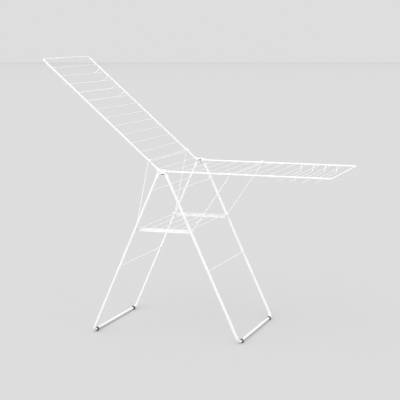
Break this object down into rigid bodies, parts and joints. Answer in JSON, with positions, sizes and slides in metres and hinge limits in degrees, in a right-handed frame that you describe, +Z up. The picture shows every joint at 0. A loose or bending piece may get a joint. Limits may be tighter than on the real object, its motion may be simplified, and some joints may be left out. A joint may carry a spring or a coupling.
{
  "type": "clothes drying rack",
  "caption": "Folding winged drying rack: two hinged tube leg frames, a low wire shelf and two wire wings on swinging struts, one level and one raised.",
  "frame": {"origin": "on the floor, under the middle of the rack's overall box", "axes": "+Z up, +X along the wings towards the level wing, +Y across the rack"},
  "size_m": [1.5336, 0.586, 1.4253],
  "materials": {
    "steel": "satin white powder coat on steel tube",
    "wires": "satin white powder coat on steel wire",
    "plastic": "satin white moulded plastic",
    "feet": "matt dark grey"
  },
  "bodies": {
    "right_legs": {"right_leg_frame": "steel", "right_leg_upper_rod": "steel", "right_leg_lower_rod": "steel", "right_front_foot": "feet", "right_rear_foot": "feet", "front_hinge_block": "plastic", "front_hinge_cap": "plastic", "rear_hinge_block": "plastic", "rear_hinge_cap": "plastic"},
    "left_legs": {"left_leg_frame": "steel", "left_leg_upper_rod": "steel", "left_leg_lower_rod": "steel", "left_front_foot": "feet", "left_rear_foot": "feet"},
    "right_wing": {"right_wing_frame": "steel", "right_wing_wire_01": "wires", "right_wing_wire_02": "wires", "right_wing_wire_03": "wires", "right_wing_wire_04": "wires", "right_wing_wire_05": "wires", "right_wing_wire_06": "wires", "right_wing_wire_07": "wires", "right_wing_wire_08": "wires", "right_wing_wire_09": "wires", "right_wing_wire_10": "wires", "right_wing_wire_11": "wires", "right_wing_wire_12": "wires", "right_wing_wire_13": "wires", "right_wing_dropped_wire_1": "wires", "right_wing_dropped_wire_2": "wires", "right_wing_dropped_wire_3": "wires", "right_wing_dropped_wire_4": "wires"},
    "right_strut": {"right_strut": "steel"},
    "left_wing": {"left_wing_frame": "steel", "left_wing_wire_01": "wires", "left_wing_wire_02": "wires", "left_wing_wire_03": "wires", "left_wing_wire_04": "wires", "left_wing_wire_05": "wires", "left_wing_wire_06": "wires", "left_wing_wire_07": "wires", "left_wing_wire_08": "wires", "left_wing_wire_09": "wires", "left_wing_wire_10": "wires", "left_wing_wire_11": "wires", "left_wing_wire_12": "wires", "left_wing_wire_13": "wires", "left_wing_dropped_wire_1": "wires", "left_wing_dropped_wire_2": "wires", "left_wing_dropped_wire_3": "wires", "left_wing_dropped_wire_4": "wires"},
    "left_strut": {"left_strut": "steel"},
    "shelf": {"front_shelf_arm": "plastic", "rear_shelf_arm": "plastic", "shelf_wire_1": "wires", "shelf_wire_2": "wires", "shelf_wire_3": "wires", "shelf_wire_4": "wires", "shelf_wire_5": "wires", "shelf_wire_6": "wires"}
  },
  "joints": [
    {"name": "left_leg_fold", "type": "hinge", "parent": "right_legs", "child": "left_legs", "pos_m": [-0.1205, 0, 0.859], "axis": [0, -1, 0], "range_deg": [0, 38]},
    {"name": "right_wing_fold", "type": "hinge", "parent": "right_legs", "child": "right_wing", "pos_m": [-0.0905, 0, 0.859], "axis": [0, 1, 0], "range_deg": [0, 56]},
    {"name": "left_wing_fold", "type": "hinge", "parent": "right_legs", "child": "left_wing", "pos_m": [-0.1205, 0, 0.859], "axis": [0, -1, 0], "range_deg": [0, 97.2]},
    {"name": "right_strut_swing", "type": "hinge", "parent": "right_legs", "child": "right_strut", "pos_m": [0.04596, 0, 0.558], "axis": [0, 1, 0], "range_deg": [0, 119]},
    {"name": "left_strut_swing", "type": "hinge", "parent": "left_legs", "child": "left_strut", "pos_m": [-0.25697, 0, 0.558], "axis": [0, -1, 0], "range_deg": [0, 165]},
    {"name": "shelf_swing", "type": "hinge", "parent": "right_legs", "child": "shelf", "pos_m": [0.04596, 0, 0.558], "axis": [0, 1, 0], "range_deg": [0, 45.5]}
  ],
  "couplings": [
    {"joint": "right_strut_swing", "follows": "right_wing_fold", "ratio": 2.115},
    {"joint": "left_strut_swing", "follows": "left_wing_fold", "ratio": 1.69},
    {"joint": "shelf_swing", "follows": "left_leg_fold", "ratio": 1.184}
  ]
}
